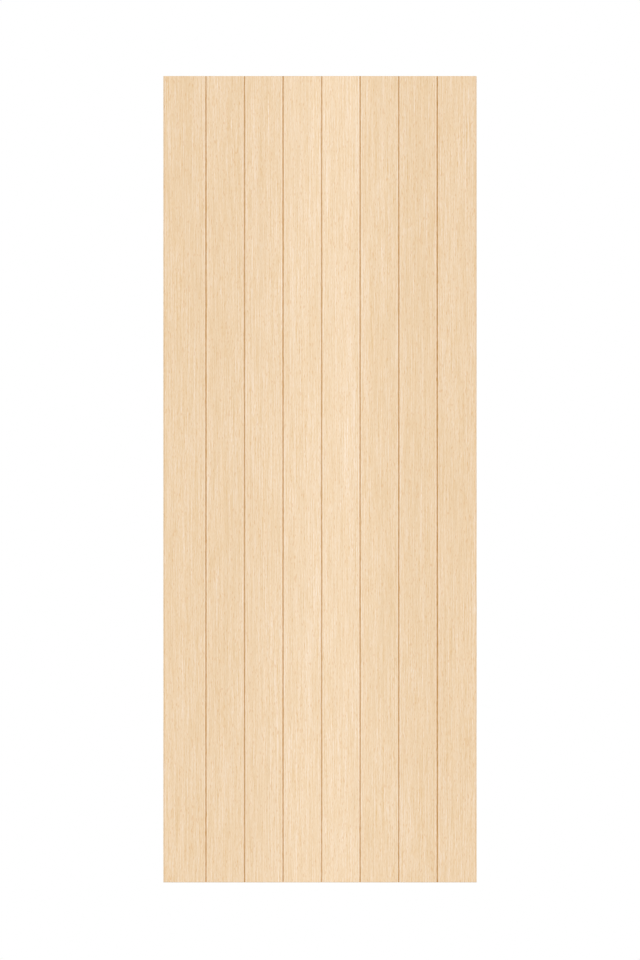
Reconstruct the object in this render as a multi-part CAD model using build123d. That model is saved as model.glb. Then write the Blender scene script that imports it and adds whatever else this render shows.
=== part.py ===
from build123d import *
import os

# A boarded wooden entrance door leaf: a tenoned frame of stiles and rails with a solid core in its two
# openings, faced on both sides with upright tongued-and-grooved boards that meet in V-joints.
# Millimetres. The origin is on the hinge edge, at the foot of the leaf's middle plane: X runs along the
# width to the lock edge, Y from the front face through to the back face, and Z up from the bottom edge.

# The leaf
leaf_width = 800.0
leaf_height = 2058.0

# The boards. A board's face runs from the middle of one V-joint to the middle of the next.
board_count = 8
board_thickness = 12.0
first_board_face = 109.0
last_board_face = 100.6

# The joint between two boards
v_joint_width = 5.0
v_joint_depth = 2.4
joint_gap = 0.2
tongue_length = 6.0
tongue_thickness = 4.0
tongue_from_seat = 2.6
tongue_side_clearance = 0.15
tongue_end_clearance = 0.5

# The eased arrises of the leaf: rounded down its long edges, planed off across its ends
edge_arris = 2.0
end_arris = 1.0

# The frame behind the boards
frame_thickness = 30.0
stile_width = 120.0
top_rail_height = 120.0
lock_rail_height = 200.0
bottom_rail_height = 200.0
lock_rail_middle = 1000.0

# The frame's joints: blind tenons in the stiles, with a short haunch where a rail ends at the leaf's end
tenon_length = 80.0
tenon_thickness = 10.0
tenon_set_in = 12.0
twin_tenon_space = 50.0
haunch_length = 10.0
haunch_height = 30.0
mortise_side_clearance = 0.1
mortise_end_clearance = 2.0

# The core
core_clearance = 1.0

# What follows from those sizes
seat = frame_thickness / 2
inner_board_face = (leaf_width - first_board_face - last_board_face) / (board_count - 2)
joint_middles = [first_board_face + i * inner_board_face for i in range(board_count - 1)]
opening_left = stile_width
opening_right = leaf_width - stile_width
lock_rail_bottom = lock_rail_middle - lock_rail_height / 2
lock_rail_top = lock_rail_middle + lock_rail_height / 2
top_rail_bottom = leaf_height - top_rail_height

LOW = (Align.MIN, Align.MIN)
LOW_3D = (Align.MIN, Align.MIN, Align.MIN)


def block(low, high):
    """A solid block between two corners."""
    size = [b - a for a, b in zip(low, high)]
    return Pos(*low) * Box(*size, align=LOW_3D)


def slab(left, right, low, high):
    """A rectangle of a board's section: across the leaf from left to right, out from the seat."""
    return Pos(left, low) * Rectangle(right - left, high - low, align=LOW)


def joint_bevel(middle, towards):
    """One board's half of a V-joint. towards is 1 where the board lies to the joint's right, else -1."""
    foot = board_thickness - v_joint_depth
    near = (middle, foot)
    far = (middle + towards * v_joint_width / 2, board_thickness)
    return make_face(Polyline(near, far, (middle, board_thickness), close=True))


def board_section(left, right, grooved, tongued):
    """A board's section: x across the leaf, y from its seat on the frame out to its face.
    left and right are the leaf's edge, or the middle of a joint, where the board stops half a gap short."""
    left_shoulder = left + (joint_gap / 2 if grooved else 0)
    right_shoulder = right - (joint_gap / 2 if tongued else 0)
    section = slab(left_shoulder, right_shoulder, 0, board_thickness)
    tongue_top = tongue_from_seat + tongue_thickness
    if grooved:
        section -= joint_bevel(left, 1)
        section -= slab(
            left_shoulder,
            left - joint_gap / 2 + tongue_length + tongue_end_clearance,
            tongue_from_seat - tongue_side_clearance,
            tongue_top + tongue_side_clearance,
        )
    if tongued:
        section -= joint_bevel(right, -1)
        section += slab(right_shoulder, right_shoulder + tongue_length, tongue_from_seat, tongue_top)
    face_corners = section.vertices().group_by(Axis.Y)[-1].sort_by(Axis.X)
    corners = ((face_corners[0], grooved), (face_corners[-1], tongued))
    outer_corners = [corner for corner, joined in corners if not joined]
    if outer_corners:
        section = fillet(outer_corners, edge_arris)
    return section


def end_bevels():
    """What the plane takes off the face side of every board, across the leaf's bottom and top ends."""
    face = seat + board_thickness
    bottom = Polyline((face - end_arris, 0), (face, 0), (face, end_arris), close=True)
    wedge = extrude(Plane.YZ * make_face(bottom), leaf_width)
    return wedge, mirror(wedge, about=Plane.XY.offset(leaf_height / 2))


def back_boards():
    """The boards of the back face, from the hinge edge on."""
    edges = [0.0, *joint_middles, leaf_width]
    bottom_wedge, top_wedge = end_bevels()
    boards = []
    for i, (left, right) in enumerate(zip(edges, edges[1:])):
        section = board_section(left, right, grooved=i > 0, tongued=i < board_count - 1)
        board = Pos(0, seat, 0) * extrude(section, leaf_height)
        boards.append(board - bottom_wedge - top_wedge)
    return boards


def rail_tenons(bottom, top, haunch_at=None, twin=False):
    """The heights of a rail's tenons, as (bottom, top) pairs, and of its haunch, or None."""
    haunch = None
    low, high = bottom + tenon_set_in, top - tenon_set_in
    if haunch_at == "bottom":
        haunch = (bottom, bottom + haunch_height)
        low = bottom + haunch_height
    if haunch_at == "top":
        haunch = (top - haunch_height, top)
        high = top - haunch_height
    if not twin:
        return [(low, high)], haunch
    middle = (low + high) / 2
    return [(low, middle - twin_tenon_space / 2), (middle + twin_tenon_space / 2, high)], haunch


# Each rail: the height of its bottom and top, and its tenons
rails = {
    "top_rail": (
        top_rail_bottom,
        leaf_height,
        *rail_tenons(top_rail_bottom, leaf_height, haunch_at="top"),
    ),
    "lock_rail": (
        lock_rail_bottom,
        lock_rail_top,
        *rail_tenons(lock_rail_bottom, lock_rail_top, twin=True),
    ),
    "bottom_rail": (
        0.0,
        bottom_rail_height,
        *rail_tenons(0.0, bottom_rail_height, haunch_at="bottom", twin=True),
    ),
}


def rail(bottom, top, tenons, haunch):
    """A rail between the stiles, with its tenons and haunches at both ends."""
    cheek = tenon_thickness / 2
    body = block((opening_left, -seat, bottom), (opening_right, seat, top))
    for low, high in tenons:
        body += block(
            (opening_left - tenon_length, -cheek, low),
            (opening_right + tenon_length, cheek, high),
        )
    if haunch:
        body += block(
            (opening_left - haunch_length, -cheek, haunch[0]),
            (opening_right + haunch_length, cheek, haunch[1]),
        )
    return body


def hinge_stile():
    """The stile at the hinge edge, mortised for every rail."""
    cheek = tenon_thickness / 2 + mortise_side_clearance
    stile = block((0, -seat, 0), (stile_width, seat, leaf_height))
    for _, _, tenons, haunch in rails.values():
        for low, high in tenons:
            stile -= block(
                (stile_width - tenon_length - mortise_end_clearance, -cheek, low),
                (stile_width, cheek, high),
            )
        if haunch:
            stile -= block(
                (stile_width - haunch_length - mortise_end_clearance, -cheek, haunch[0]),
                (stile_width, cheek, haunch[1]),
            )
    return stile


def core(bottom, top):
    """The core block of one opening, as thick as the frame, so that the boards bear on it."""
    return block(
        (opening_left + core_clearance, -seat, bottom + core_clearance),
        (opening_right - core_clearance, seat, top - core_clearance),
    )


nodes = {"hinge_stile": hinge_stile()}
nodes["lock_stile"] = mirror(nodes["hinge_stile"], about=Plane.YZ.offset(leaf_width / 2))
for name, sizes in rails.items():
    nodes[name] = rail(*sizes)
nodes["lower_core"] = core(bottom_rail_height, lock_rail_bottom)
nodes["upper_core"] = core(lock_rail_top, top_rail_bottom)
for number, board in enumerate(back_boards(), start=1):
    nodes[f"back_board_{number}"] = board
    nodes[f"front_board_{number}"] = mirror(board, about=Plane.XZ)

os.makedirs("parts", exist_ok=True)
for name, shape in nodes.items():
    export_step(shape, f"parts/{name}.step")
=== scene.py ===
import math

import bpy
import numpy as np
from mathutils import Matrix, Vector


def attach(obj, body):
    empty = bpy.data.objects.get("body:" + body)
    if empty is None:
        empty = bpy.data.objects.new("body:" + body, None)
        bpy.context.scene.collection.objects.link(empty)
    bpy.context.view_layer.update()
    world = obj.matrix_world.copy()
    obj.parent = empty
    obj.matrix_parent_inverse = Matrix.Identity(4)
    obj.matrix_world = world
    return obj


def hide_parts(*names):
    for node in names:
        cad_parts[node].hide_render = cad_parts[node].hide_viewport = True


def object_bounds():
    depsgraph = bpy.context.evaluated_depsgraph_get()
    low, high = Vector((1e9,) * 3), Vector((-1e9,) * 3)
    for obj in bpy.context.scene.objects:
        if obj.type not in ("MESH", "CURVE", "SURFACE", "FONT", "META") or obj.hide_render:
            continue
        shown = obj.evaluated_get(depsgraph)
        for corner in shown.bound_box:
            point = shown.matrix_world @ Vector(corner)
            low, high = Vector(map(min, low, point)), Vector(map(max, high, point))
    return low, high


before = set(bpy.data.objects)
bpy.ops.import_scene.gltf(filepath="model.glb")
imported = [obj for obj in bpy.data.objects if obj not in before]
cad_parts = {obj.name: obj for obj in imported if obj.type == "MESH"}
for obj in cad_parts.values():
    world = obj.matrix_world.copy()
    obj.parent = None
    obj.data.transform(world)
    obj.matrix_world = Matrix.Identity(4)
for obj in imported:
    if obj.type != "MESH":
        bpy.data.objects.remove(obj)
cad_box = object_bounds()

# The two stiles: the upright members of the leaf's frame, rift-sawn oak of 120 by 30 mm, planed on all
# sides and mortised for the rails. Their outer edges show as the middle layer of the leaf's long edges,
# and their end grain at its top and bottom.


def linear(hex_colour):
    """An sRGB hex colour as linear red, green and blue, with alpha."""
    shares = [int(hex_colour[i:i + 2], 16) / 255 for i in (1, 3, 5)]
    return (*[s / 12.92 if s <= 0.04045 else ((s + 0.055) / 1.055) ** 2.4 for s in shares], 1.0)


def add(tree, kind, inputs=None, **settings):
    """Adds a node with its settings. inputs gives each input, by name or number, a value or a link."""
    node = tree.nodes.new("ShaderNode" + kind)
    for name, value in settings.items():
        setattr(node, name, value)
    for name, value in (inputs or {}).items():
        if isinstance(value, bpy.types.NodeSocket):
            tree.links.new(value, node.inputs[name])
        else:
            node.inputs[name].default_value = value
    return node


def new_material(name):
    """A material with an empty tree, and that tree."""
    material = bpy.data.materials.new(name)
    material.use_nodes = True
    material.node_tree.nodes.clear()
    return material, material.node_tree


# Rift-sawn oak, planed and sanded. Its year rings and fibres run straight up the piece, as fine lines each
# a little paler or browner than the next. Short dark pores and pale flecks, where a ray is cut, lie
# between them, and the whole is softly mottled.
oak_pale = linear("#FBE8D4")
oak_middle = linear("#F0D3AD")
oak_brown = linear("#E4BC83")
oak_pore = linear("#DDA768")
oak_end = linear("#D3AA78")

# Blender's unit is the metre, and the sizes below are in mm
mm = 0.001
mm_per_metre = 1000
to_mm = (mm_per_metre, mm_per_metre, mm_per_metre)

# The photo's scale, from the leaf's real width and the pixels at which its long edges stand
leaf_in_photo = (163.26, 476.72)
leaf_width = mm_per_metre * (cad_box[1][0] - cad_box[0][0])
mm_per_pixel = leaf_width / (leaf_in_photo[1] - leaf_in_photo[0])

# Oak's lines are 0.3 to 2 mm wide, too fine to show. They are drawn coarser, as wide as one pixel of the
# picture, 2.55 mm, and in step with its pixels, so that they show sharp.
line_width = mm_per_pixel
first_line = (leaf_in_photo[0] % 1) * line_width

# The picture's own softness blends each line into the two beside it, so each is set off from them by this
# share of its weight
line_contrast = 0.12

# Each pattern, in mm: whether it keeps to the lines, its width across the grain and its length along it,
# how many finer octaves it has, and its weight in the tone. The first four make up the lines. Streaks and
# hairlines run between them, and bands, mottling and figure change the wood over a broad patch. The last
# four have no weight here, because each has a use of its own.
oak_patterns = {
    "specks": (True, 1.9, 8.0, 0.0, 0.295),
    "dashes": (True, 1.9, 24.0, 0.0, 0.22),
    "fibres": (True, 1.9, 70.0, 0.0, 0.31),
    "long_fibres": (True, 1.9, 260.0, 0.0, 0.28),
    "streaks": (False, 4.0, 1500.0, 1.0, 0.13),
    "bands": (False, 42.0, 4000.0, 0.0, 0.02),
    "hairlines": (False, 0.45, 80.0, 1.0, 0.4),
    "mottling": (False, 9.0, 110.0, 2.0, 0.155),
    "figure": (False, 50.0, 400.0, 1.0, 0.1),
    "pores": (True, 2.0, 12.0, 0.0, 0.0),
    "flecks": (True, 1.9, 14.0, 0.0, 0.0),
    "pale_lines": (True, 1.9, 420.0, 0.0, 0.0),
    "touch": (False, 1.0, 40.0, 1.0, 0.0),
}

# How far the grain sways to and fro, in mm, and over what width and length of the wood it does so
grain_sway = 9.0
grain_sway_reach = (110.0, 900.0)

# The year rings: their mean width, how many years their count strays over a run of good or poor years, the
# width of such a run, and the share of each ring that is early wood
ring_width = 3.4
ring_unevenness = 5.0
run_of_years = 11.0
early_share = 0.45

# The large pores: how much they crowd into the early wood, how dark they look, and how deep they feel
pore_crowding = 0.05
pore_darkness = 0.32
pore_depth = 0.5


def oak_grain(tree, place, paleness, grain_axis):
    """The look of oak at each place in the log: its colour, its tone, from 0 at its brownest to 1 at its
    palest, and the height that can be felt. place is in mm from the pith, with z along the trunk,
    paleness is the tone of the whole piece, and grain_axis the axis of the grain in the object."""
    facing = add(tree, "TexCoord").outputs["Normal"]
    along_grain = add(tree, "SeparateXYZ", {0: facing}).outputs[grain_axis]
    along_grain = add(tree, "Math", {0: along_grain}, operation="ABSOLUTE").outputs[0]
    end_cut = add(tree, "MapRange", {"Value": along_grain, "From Min": 0.6, "From Max": 0.9})
    end_cut = end_cut.outputs["Result"]

    # The lines are in steps across the grain and smooth along it. End grain has no such steps.
    smooth = 0.01
    wide, long = grain_sway_reach
    slow = add(tree, "VectorMath", {0: place, 1: (1 / wide, 1 / wide, 1 / long)}, operation="MULTIPLY")
    sway = add(tree, "TexNoise", {"Vector": slow.outputs[0], "Scale": 1.0, "Detail": 1.0})
    step = (line_width, line_width, smooth)
    lined = add(tree, "VectorMath", {0: place, 1: step}, operation="SNAP").outputs[0]
    lined = add(tree, "Mix", {0: end_cut, 4: lined, 5: place}, data_type="VECTOR").outputs[1]
    bent = {}
    for keeps_to_lines, start in ((True, lined), (False, place)):
        moved = {0: sway.outputs["Color"], 1: (grain_sway, grain_sway, 0), 2: start}
        bent[keeps_to_lines] = add(tree, "VectorMath", moved, operation="MULTIPLY_ADD").outputs[0]

    # The tone is summed in two parts, one of what keeps to the lines and one of all else
    noise = {}
    noise_mean = 0.5
    sums = {True: 0.0, False: paleness}
    for name, (keeps_to_lines, across, along, octaves, weight) in oak_patterns.items():
        size = (1 / across, 1 / across, 1 / along)
        fitted = add(tree, "VectorMath", {0: bent[keeps_to_lines], 1: size}, operation="MULTIPLY")
        inputs = {"Vector": fitted.outputs[0], "Scale": 1.0, "Detail": octaves}
        noise[name] = add(tree, "TexNoise", inputs).outputs["Fac"]
        if not weight:
            continue
        centred = add(tree, "Math", {0: noise[name], 1: -noise_mean}, operation="ADD").outputs[0]
        own = weight * (1 + 2 * line_contrast) if keeps_to_lines else weight
        given = {0: centred, 1: own, 2: sums[keeps_to_lines]}
        sums[keeps_to_lines] = add(tree, "Math", given, operation="MULTIPLY_ADD").outputs[0]
        if not keeps_to_lines:
            continue
        for neighbour in (-1, 1):
            next_line = (neighbour * line_width / across, 0, 0)
            beside = add(tree, "VectorMath", {0: fitted.outputs[0], 1: next_line}, operation="ADD")
            inputs = {"Vector": beside.outputs[0], "Scale": 1.0, "Detail": octaves}
            centred = add(tree, "TexNoise", inputs).outputs["Fac"]
            centred = add(tree, "Math", {0: centred, 1: -noise_mean}, operation="ADD").outputs[0]
            taken = {0: centred, 1: -line_contrast * weight, 2: sums[True]}
            sums[True] = add(tree, "Math", taken, operation="MULTIPLY_ADD").outputs[0]

    # Where the cut runs closer to the rays the lines are faint, and elsewhere strong
    strength = {"Value": noise["figure"], "From Min": 0.3, "From Max": 0.7, "To Min": 0.78, "To Max": 1.22}
    strength = add(tree, "MapRange", strength).outputs["Result"]
    tone = {0: sums[True], 1: strength, 2: sums[False]}
    tone = add(tree, "Math", tone, operation="MULTIPLY_ADD").outputs[0]
    for name, start, full, gain in (("pale_lines", 0.6, 0.76, 0.08), ("flecks", 0.76, 0.84, 0.15)):
        where = add(tree, "MapRange", {"Value": noise[name], "From Min": start, "From Max": full})
        tone = {0: where.outputs["Result"], 1: gain, 2: tone}
        tone = add(tree, "Math", tone, operation="MULTIPLY_ADD").outputs[0]

    # The year rings: the early wood of each holds the large pores, and drinks more lacquer at an end
    flat = add(tree, "VectorMath", {0: bent[False], 1: (1, 1, 0)}, operation="MULTIPLY")
    radius = add(tree, "VectorMath", {0: flat.outputs[0]}, operation="LENGTH").outputs["Value"]
    runs = add(tree, "Math", {0: radius, 1: 1 / run_of_years}, operation="MULTIPLY").outputs[0]
    runs = add(tree, "TexNoise", {"W": runs, "Scale": 1.0, "Detail": 2.0}, noise_dimensions="1D")
    years = add(tree, "Math", {0: radius, 1: 1 / ring_width}, operation="MULTIPLY").outputs[0]
    years = {0: runs.outputs["Fac"], 1: ring_unevenness, 2: years}
    years = add(tree, "Math", years, operation="MULTIPLY_ADD").outputs[0]
    season = add(tree, "Math", {0: years}, operation="FRACT").outputs[0]
    early = {"Value": season, "From Max": early_share, "To Min": 1.0, "To Max": 0.0}
    early = add(tree, "MapRange", early).outputs["Result"]
    pores = {0: early, 1: pore_crowding, 2: noise["pores"]}
    pores = add(tree, "Math", pores, operation="MULTIPLY_ADD").outputs[0]
    pores = {"Value": pores, "From Min": 0.68, "From Max": 0.8}
    pores = add(tree, "MapRange", pores).outputs["Result"]

    # From line to line the wood is browner or paler, and over a broad patch also darker or lighter
    ramp = add(tree, "ValToRGB", {"Fac": tone})
    ramp.color_ramp.elements[0].color = oak_brown
    ramp.color_ramp.elements[1].color = oak_pale
    ramp.color_ramp.elements.new(0.5).color = oak_middle
    depth = add(tree, "MapRange", {"Value": sums[False], "To Min": 0.85, "To Max": 1.15})
    lit = {0: ramp.outputs["Color"], "Scale": depth.outputs["Result"]}
    colour = add(tree, "VectorMath", lit, operation="SCALE").outputs[0]
    sunk = add(tree, "Math", {0: pores, 1: pore_darkness}, operation="MULTIPLY").outputs[0]
    colour = add(tree, "Mix", {0: sunk, 6: colour, 7: oak_pore}, data_type="RGBA").outputs[2]
    ringed = add(tree, "MapRange", {"Value": early, "To Min": 0.55, "To Max": 0.95}).outputs["Result"]
    drunk = add(tree, "Math", {0: end_cut, 1: ringed}, operation="MULTIPLY").outputs[0]
    colour = add(tree, "Mix", {0: drunk, 6: colour, 7: oak_end}, data_type="RGBA").outputs[2]
    felt = {0: pores, 1: -pore_depth, 2: noise["touch"]}
    felt = add(tree, "Math", felt, operation="MULTIPLY_ADD").outputs[0]
    return colour, tone, felt


def lacquered_oak(tree, colour, tone, felt):
    """The finish: a matt clear lacquer, a little duller over the browner and more open wood, through
    which the fibres and pores can just be felt."""
    sheen = add(tree, "MapRange", {"Value": tone, "To Min": 0.58, "To Max": 0.52}).outputs["Result"]
    relief = add(tree, "Bump", {"Height": felt, "Strength": 0.25, "Distance": 0.0001})
    surface = add(
        tree,
        "BsdfPrincipled",
        {"Base Color": colour, "Roughness": sheen, "IOR": 1.5, "Normal": relief.outputs["Normal"]},
    )
    add(tree, "OutputMaterial", {"Surface": surface.outputs["BSDF"]})


def frame_oak(name, turn, from_pith, grain_axis):
    """Oak of a piece that keeps its CAD shape. turn brings its grain to z. It is a little browner than the
    boards' oak, because the choicest planks go into the faces."""
    frame_paleness = 0.4
    material, tree = new_material(name)
    here = add(tree, "TexCoord").outputs["Object"]
    placed = {"Vector": here, "Location": from_pith, "Rotation": turn, "Scale": to_mm}
    place = add(tree, "Mapping", placed).outputs[0]
    colour, tone, felt = oak_grain(tree, place, frame_paleness, grain_axis)
    lacquered_oak(tree, colour, tone, felt)
    return material


def ease_arrises(piece, width, material):
    """Gives a piece its material, and takes the sharpness off its edges as sandpaper does."""
    weld = piece.modifiers.new("weld", "WELD")
    weld.merge_threshold = 1e-6
    arris = piece.modifiers.new("arris", "BEVEL")
    arris.width = width
    arris.segments = 2
    arris.limit_method = "ANGLE"
    piece.data.materials.clear()
    piece.data.materials.append(material)


# The stiles' grain runs up along z
sanded_arris = 0.3 * mm
stile_oak = frame_oak("planed_oak_stiles", turn=(0, 0, 0), from_pith=(150, 210, 0), grain_axis=2)
for name in ("hinge_stile", "lock_stile"):
    ease_arrises(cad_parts[name], sanded_arris, stile_oak)

# The three rails: oak crosspieces of the same thickness, tenoned into the stiles. The top edge of the top
# rail and the underside of the bottom rail show between the stiles' ends. The lock rail is closed in.
quarter_turn = (0, math.pi / 2, 0)
rail_oak = frame_oak("planed_oak_rails", quarter_turn, from_pith=(260, 170, 9000), grain_axis=0)
for name in ("top_rail", "lock_rail", "bottom_rail"):
    ease_arrises(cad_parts[name], sanded_arris, rail_oak)

# The core: staves of spruce glued side by side into a block that fills each opening of the frame. Rough
# from the saw, each stave has its own pale yellow and its own rings. Nothing of it shows.
stave_width = 45.0
spruce_early = linear("#E8CFA0")
spruce_late = linear("#C99B62")

# In mm, the width and length of spruce's rings and how far apart in the log two staves may come from, then
# the lowest tone of a stave and how much more it may be
spruce_rings = (5, 5, 600)
staves_apart = (300, 300, 4000)
stave_lowest = -0.1
stave_spread = 0.25

core_spruce, tree = new_material("glued_spruce_staves")
here = add(tree, "TexCoord").outputs["Object"]
place = add(tree, "Mapping", {"Vector": here, "Scale": to_mm}).outputs[0]
across = add(tree, "SeparateXYZ", {0: place}).outputs["X"]
staves = add(tree, "Math", {0: across, 1: 1 / stave_width}, operation="MULTIPLY").outputs[0]
stave = add(tree, "Math", {0: staves}, operation="FLOOR").outputs[0]
luck = add(tree, "TexWhiteNoise", {"W": stave}, noise_dimensions="1D")
away = {0: luck.outputs["Color"], 1: staves_apart, 2: place}
away = add(tree, "VectorMath", away, operation="MULTIPLY_ADD").outputs[0]
narrow = {0: away, 1: [1 / size for size in spruce_rings]}
narrow = add(tree, "VectorMath", narrow, operation="MULTIPLY").outputs[0]
rings = add(tree, "TexNoise", {"Vector": narrow, "Scale": 1.0, "Detail": 3.0}).outputs["Fac"]
tone = {0: luck.outputs["Value"], 1: stave_spread, 2: stave_lowest}
tone = add(tree, "Math", tone, operation="MULTIPLY_ADD").outputs[0]
tone = add(tree, "Math", {0: rings, 1: tone}, operation="ADD").outputs[0]
ramp = add(tree, "ValToRGB", {"Fac": tone})
ramp.color_ramp.elements[0].color = spruce_late
ramp.color_ramp.elements[1].color = spruce_early
fuzz = add(tree, "Bump", {"Height": tone, "Strength": 0.5, "Distance": 0.0003})
sawn = add(
    tree,
    "BsdfPrincipled",
    {"Base Color": ramp.outputs["Color"], "Roughness": 0.8, "Normal": fuzz.outputs["Normal"]},
)
add(tree, "OutputMaterial", {"Surface": sawn.outputs["BSDF"]})
for name in ("lower_core", "upper_core"):
    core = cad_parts[name]
    core.data.materials.clear()
    core.data.materials.append(core_spruce)

# The boards: 12 mm rift-sawn oak on both faces of the frame, eight to a side, glued on upright. Each has a
# groove down one edge and a tongue down the other, and its face is planed back along both edges, so that
# two boards meet in a V. By hand the V comes out a little uneven, and in places the arris has chipped.
leaf_height = mm_per_metre * (cad_box[1][2] - cad_box[0][2])
board_count = 8
board_thickness = 12.0
first_board_face = 109.0
last_board_face = 100.6
v_joint_width = 5.0
v_joint_depth = 2.4
joint_gap = 0.2
tongue_length = 6.0
tongue_low = 2.6
tongue_high = 6.6
groove_room = 0.15
groove_end_room = 0.5
edge_arris = 2.0
end_arris = 1.0
seat = 15.0
glue_line = 0.3

inner_board_face = (leaf_width - first_board_face - last_board_face) / (board_count - 2)
joints = [first_board_face + i * inner_board_face for i in range(board_count - 1)]
board_edges = [0.0, *joints, leaf_width]

# How far the plane wandered at each V, slowly and fast, as the distance between its turns and their size,
# and the chips of its arrises, in mm
wander_long = (90.0, 0.16)
wander_short = (9.0, 0.14)
chips_per_arris = 9
chip_depth = (0.3, 1.1)
chip_length = (3.0, 9.0)
slice_height = 4.0

# How far in from the leaf's rounded edge the painted dark line on the face is darkest and ends, in mm
dark_line_middle = 0.6
dark_line_end = 2.2


def board_outline(left, right, painted_brown):
    """A board's outline, once round. Each point has x across the leaf, its height off the seat, how much
    it moves with its arris, its share of the painted highlight on the arris and of the painted brown, and
    whether it is on the right side. The last argument gives how dark the brown is painted on its left and
    its
    right: in a joint it is lacquer, painted darker to stand for the V's shade too, and at an outer edge a
    line."""
    grooved, tongued = left > 0, right < leaf_width
    face = board_thickness
    shoulder = joint_gap / 2
    foot = face - v_joint_depth * (1 - shoulder / (v_joint_width / 2))
    reach = v_joint_width / 2

    def joined_side(middle, inward, painted_brown_here):
        """From the joint's foot up over its eased arris to the face, where the painted highlight and the
        plane's wander fade out. inward is 1 on a board's left side."""
        # The V's foot and lower slope are painted brown: lacquer, made darker as painted shade
        at = [
            (shoulder, foot, 0.0, 0.0, painted_brown_here),
            (reach - 0.35, face - 0.34, 0.9, 0.4, 0.58 * painted_brown_here),
            (reach - 0.05, face - 0.09, 1.0, 1.0, 0.0),
            (reach + 1.0, face, 1.0, 1.0, 0.0),
            (reach + 2.6, face, 0.5, 0.0, 0.0),
        ]
        return [(middle + inward * x, *rest) for x, *rest in at]

    def outer_side(edge, inward, painted_brown_here):
        """From the seat's glue line up round the leaf's own rounded edge to the face."""
        turns = [math.radians(angle) for angle in (0, 18, 36, 54, 72, 90)]
        at = [(glue_line, 0.0, 0.0, 0.0, 0.0), (0.0, glue_line, 0.0, 0.0, 0.0)]
        # Painted highlight round the leaf's rounded edge, strongest halfway round
        for turn in turns:
            x = edge_arris * (1 - math.cos(turn))
            out = face - edge_arris * (1 - math.sin(turn))
            at.append((x, out, 0.0, math.sin(2 * turn), 0.0))
        # A dark line painted on the face just inside the rounded edge
        at.append((edge_arris + dark_line_middle, face, 0.0, 0.0, painted_brown_here))
        at.append((edge_arris + dark_line_end, face, 0.0, 0.0, 0.0))
        return [(edge + inward * x, *rest) for x, *rest in at]

    if grooved:
        low, high = tongue_low - groove_room, tongue_high + groove_room
        end = left - shoulder + tongue_length + groove_end_room
        start = left + shoulder
        corners = [(start, 0.0), (start, low), (end, low), (end, high), (start, high)]
        left_side = [(x, out, 0.0, 0.0, 1.0) for x, out in corners] + joined_side(left, 1, painted_brown[0])
    else:
        left_side = outer_side(left, 1, painted_brown[0])
    if tongued:
        start = right - shoulder
        end = start + tongue_length
        corners = [(start, 0.0), (start, tongue_low), (end, tongue_low), (end, tongue_high)]
        corners.append((start, tongue_high))
        right_side = [(x, out, 0.0, 0.0, 1.0) for x, out in corners] + joined_side(right, -1, painted_brown[1])
    else:
        right_side = outer_side(right, -1, painted_brown[1])
    middle = (left + right) / 2
    across = [(*point, 0) for point in left_side]
    across.append((middle, face, 0.0, 0.0, 0.0, 0))
    across += [(*point, 1) for point in reversed(right_side)]
    return np.array(across)


def wander(chance, heights):
    """How far an arris strays from its line at each height: slow, fast, and in chips."""
    strayed = np.zeros_like(heights)
    for pitch, size in (wander_long, wander_short):
        knots = np.arange(-pitch, leaf_height + 2 * pitch, pitch)
        strayed += np.interp(heights, knots, chance.normal(0.0, size, len(knots)))
    for _ in range(chips_per_arris):
        middle = chance.uniform(0.0, leaf_height)
        length = chance.uniform(*chip_length)
        depth = chance.uniform(*chip_depth)
        strayed += depth * np.exp(-(((heights - middle) / length) ** 2))
    return strayed


def board_mesh(name, outline, side, chance, from_pith, paleness):
    """One board, upright. side is 1 on the back face and -1 on the front."""
    heights = np.arange(end_arris, leaf_height - end_arris, slice_height)
    heights = np.array([0.0, *heights, leaf_height - end_arris, leaf_height])
    rows, points = len(heights), len(outline)
    x, out, moves, highlit, shaded, right_side = (np.tile(column, (rows, 1)) for column in outline.T)
    left_stray = wander(chance, heights)[:, None]
    right_stray = wander(chance, heights)[:, None]
    x = x + moves * np.where(right_side > 0, -right_stray, left_stray)

    # The plane takes the corner off across both ends, so the end rows stop short of the face. What stands
    # on an arris of a V then slides down the V's slope.
    planed = board_thickness - end_arris
    on_arris = outline[:, 2] > 0.8
    down_slope = on_arris * end_arris * v_joint_width / 2 / v_joint_depth
    for row in (0, -1):
        x[row] += np.where(out[row] > planed, np.where(right_side[row] > 0, 1, -1) * down_slope, 0)
        out[row] = np.minimum(out[row], planed)
    z = np.repeat(heights[:, None], points, axis=1)
    places = np.stack([x, side * (seat + out), z], axis=-1).reshape(-1, 3)

    faces = []
    for low in range(0, (rows - 1) * points, points):
        high = low + points
        for i in range(points):
            j = (i + 1) % points
            faces.append((low + i, low + j, high + j, high + i))
    faces.append(tuple(reversed(range(points))))
    faces.append(tuple((rows - 1) * points + i for i in range(points)))
    if side > 0:
        faces = [tuple(reversed(face)) for face in faces]

    mesh = bpy.data.meshes.new(name)
    mesh.from_pydata((places * mm).tolist(), [], faces)
    in_log = places - (0, side * seat, 0) + from_pith
    for attribute, kind, values in (
        ("log_place", "FLOAT_VECTOR", in_log),
        ("arris_highlight", "FLOAT", highlit),
        ("joint_shade", "FLOAT", shaded),
        ("paleness", "FLOAT", np.full(len(places), paleness)),
    ):
        layer = mesh.attributes.new(attribute, kind, "POINT")
        field = "vector" if kind == "FLOAT_VECTOR" else "value"
        layer.data.foreach_set(field, np.ascontiguousarray(values, dtype=np.float32).ravel())
    mesh.shade_smooth()
    mesh.set_sharp_from_angle(angle=math.radians(30))
    return mesh


# The boards' oak: as the frame's, with a painted highlight along the arrises, and the foot of each V
# painted brown: lacquer gathered there, made darker as painted shade, here more and there less
arris_highlight_colour = linear("#FDF0DC")
lacquer_and_shade_brown = linear("#CF9B4D")
painted_brown_runs = (20, 20, 14)

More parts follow.
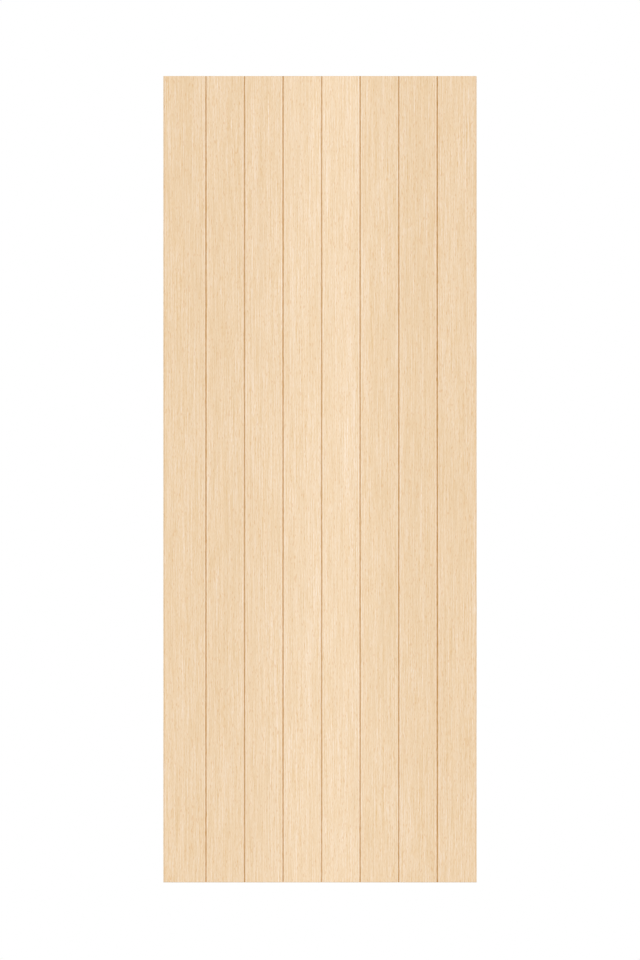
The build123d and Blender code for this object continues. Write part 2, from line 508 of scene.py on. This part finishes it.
board_oak, tree = new_material("lacquered_oak_boards")
place = add(tree, "Attribute", attribute_name="log_place").outputs["Vector"]
paleness = add(tree, "Attribute", attribute_name="paleness").outputs["Fac"]
colour, tone, felt = oak_grain(tree, place, paleness, grain_axis=2)
# Painted highlight: the arrises are painted paler, more so where the wood is paler
highlit = add(tree, "Attribute", attribute_name="arris_highlight").outputs["Fac"]
highlight_share = add(tree, "MapRange", {"Value": tone, "To Min": 0.2, "To Max": 0.7}).outputs["Result"]
highlight_share = add(tree, "Math", {0: highlit, 1: highlight_share}, operation="MULTIPLY").outputs[0]
colour = add(tree, "Mix", {0: highlight_share, 6: colour, 7: arris_highlight_colour}, data_type="RGBA").outputs[2]
# Painted shade: the V's foot and a line inside each outer edge are painted brown, unevenly along the grain
shaded = add(tree, "Attribute", attribute_name="joint_shade").outputs["Fac"]
runs = {0: place, 1: [1 / size for size in painted_brown_runs]}
runs = add(tree, "VectorMath", runs, operation="MULTIPLY").outputs[0]
runs = add(tree, "TexNoise", {"Vector": runs, "Scale": 1.0, "Detail": 1.0}).outputs["Fac"]
amount = {"Value": runs, "From Min": 0.3, "From Max": 0.7, "To Min": 0.5, "To Max": 0.98}
amount = add(tree, "MapRange", amount).outputs["Result"]
painted_brown = add(tree, "Math", {0: shaded, 1: amount}, operation="MULTIPLY").outputs[0]
colour = add(tree, "Mix", {0: painted_brown, 6: colour, 7: lacquer_and_shade_brown}, data_type="RGBA").outputs[2]
lacquered_oak(tree, colour, tone, felt)

# The tone of each board, from the hinge edge on: no two come from quite the same tree
front_paleness = (0.488, 0.508, 0.52, 0.517, 0.517, 0.483, 0.487, 0.498)
back_paleness = (0.49, 0.43, 0.52, 0.46, 0.48, 0.44, 0.51, 0.47)

# How dark the brown is painted at the leaf's hinge edge, in each joint and at its lock edge: in a joint
# it is lacquer, made darker as painted shade, and at an outer edge a dark line just inside it
painted_brown_at_edges = (0.75, 0.89, 0.84, 0.87, 0.77, 0.75, 0.88, 1.08, 0.45)

# Where in a log a board was sawn: rift-sawn boards lie at about 45 degrees to the pith, this far from it in
# mm, and each board's stretch of trunk is its own
sawn_angle = (35, 55)
sawn_radius = (150, 260)
trunk_length = 3000.0

for face_name, side, palenesses, seed in (
    ("front", -1, front_paleness, 11),
    ("back", 1, back_paleness, 47),
):
    for i, (left, right) in enumerate(zip(board_edges, board_edges[1:])):
        chance = np.random.default_rng(seed + i)
        angle = math.radians(chance.uniform(*sawn_angle))
        radius = chance.uniform(*sawn_radius)
        # In whole lines, so that the lines keep in step with the photo's pixels
        steps = [round(radius * share / line_width) for share in (math.cos(angle), math.sin(angle))]
        from_pith = (
            steps[0] * line_width + first_line,
            steps[1] * line_width,
            trunk_length * (seed + i),
        )
        outline = board_outline(left, right, painted_brown_at_edges[i:i + 2])
        piece_name = f"{face_name}_tg_board_{i + 1}"
        mesh = board_mesh(piece_name, outline, side, chance, from_pith, palenesses[i])
        mesh.materials.append(board_oak)
        board = bpy.data.objects.new(piece_name, mesh)
        bpy.context.scene.collection.objects.link(board)
        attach(board, "root")
        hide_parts(f"{face_name}_board_{i + 1}")

# The studio: a pale seamless floor in an even white surround. The floor shows the leaf's shadow, and
# throws back as much light as the surround gives, so that the leaf is as bright at its foot as at its top.
white = (1, 1, 1, 1)
surround_light = 0.608
floor_glow = 0.1
floor_reach = 9.0

floor_mesh = bpy.data.meshes.new("studio_floor")
floor_corners = [(x * floor_reach, y * floor_reach, 0) for x, y in ((-1, -1), (1, -1), (1, 1), (-1, 1))]
floor_mesh.from_pydata(floor_corners, [], [(0, 1, 2, 3)])
floor = bpy.data.objects.new("studio_floor", floor_mesh)
bpy.context.scene.collection.objects.link(floor)

# Matt paint, rolled on: an even pale grey without gloss, on which only the shadow shows. The camera, and
# what mirrors or passes its rays, see the paint itself with a little glow, and all else its even light.
floor_paint, tree = new_material("pale_floor_paint")
path = add(tree, "LightPath").outputs
seen = {0: path["Is Camera Ray"], 1: path["Is Glossy Ray"]}
seen = add(tree, "Math", seen, operation="MAXIMUM").outputs[0]
seen = {0: seen, 1: path["Is Transmission Ray"]}
seen = add(tree, "Math", seen, operation="MAXIMUM").outputs[0]
matt = add(tree, "BsdfDiffuse", {"Color": linear("#E7E7E6")})
glow = add(tree, "Emission", {"Color": white, "Strength": floor_glow})
thrown = add(tree, "Emission", {"Color": white, "Strength": surround_light})
paint = add(tree, "AddShader", {0: matt.outputs[0], 1: glow.outputs[0]})
paint = add(tree, "MixShader", {0: seen, 1: thrown.outputs[0], 2: paint.outputs[0]})
add(tree, "OutputMaterial", {"Surface": paint.outputs[0]})
floor_mesh.materials.append(floor_paint)

world = bpy.data.worlds.new("white_surround")
bpy.context.scene.world = world
world.use_nodes = True
tree = world.node_tree
tree.nodes.clear()
path = add(tree, "LightPath").outputs
seen = {0: path["Is Camera Ray"], 1: path["Is Transmission Ray"]}
seen = add(tree, "Math", seen, operation="MAXIMUM").outputs[0]
strength = add(tree, "MapRange", {"Value": seen, "To Min": surround_light, "To Max": 1.0})
sky = add(tree, "Background", {"Color": white, "Strength": strength.outputs["Result"]})
add(tree, "OutputWorld", {"Surface": sky.outputs[0]})

# The main light: four broad soft boxes far off, two to the front and two to the back, all at one height and
# one strength. They light both faces evenly, and throw a soft shadow of the leaf on the floor.
box_height = math.radians(30)
box_breadth = math.radians(30)
box_strength = 0.74
for name, bearing in (("front_left", -25), ("front_right", 25), ("back_left", -155), ("back_right", 155)):
    lamp = bpy.data.lights.new(name, "SUN")
    lamp.energy = box_strength
    lamp.angle = box_breadth
    box = bpy.data.objects.new(name, lamp)
    box.rotation_euler = (math.pi / 2 - box_height, 0, math.radians(bearing))
    bpy.context.scene.collection.objects.link(box)

# The strip lamp, an upright tube in a narrow box before the leaf. It throws only a sheen on the lacquer,
# as a soft upright band, and no light on the wood.
strip_place = (0.43, -1.6, 1.2)
strip_aims_at_height = 0.95
strip_watts = 1.25
strip_beam = math.radians(16)

strip_lamp = bpy.data.lights.new("strip", "AREA")
strip_lamp.shape = "RECTANGLE"
strip_lamp.size, strip_lamp.size_y = 0.1, 3.4
strip_lamp.energy = strip_watts
strip_lamp.spread = strip_beam
strip_lamp.color = (1.0, 1.0, 0.92)
strip = bpy.data.objects.new("strip", strip_lamp)
strip.location = strip_place
strip.rotation_euler = (math.atan2(-strip_place[1], strip_place[2] - strip_aims_at_height), 0, 0)
strip.visible_camera = False
strip.visible_diffuse = False
bpy.context.scene.collection.objects.link(strip)

# The camera: square on to the front face, far enough off that the leaf shows no perspective. The leaf
# stands in the picture where it stands in the photo, which is 640 by 960 pixels.
photo_width, photo_height = 640, 960
photo_middle_of_leaf = 479.2
camera_distance = 5.0
across_photo = photo_width / 2 - sum(leaf_in_photo) / 2
up_photo = photo_middle_of_leaf - photo_height / 2

lens = bpy.data.cameras.new("square_on")
lens.type = "ORTHO"
lens.ortho_scale = photo_height * mm_per_pixel * mm
camera = bpy.data.objects.new("square_on", lens)
camera.location = (
    (leaf_width / 2 + across_photo * mm_per_pixel) * mm,
    -camera_distance,
    (leaf_height / 2 + up_photo * mm_per_pixel) * mm,
)
camera.rotation_euler = (math.pi / 2, 0, 0)
bpy.context.scene.collection.objects.link(camera)
bpy.context.scene.camera = camera
bpy.context.scene.view_settings.view_transform = "Standard"
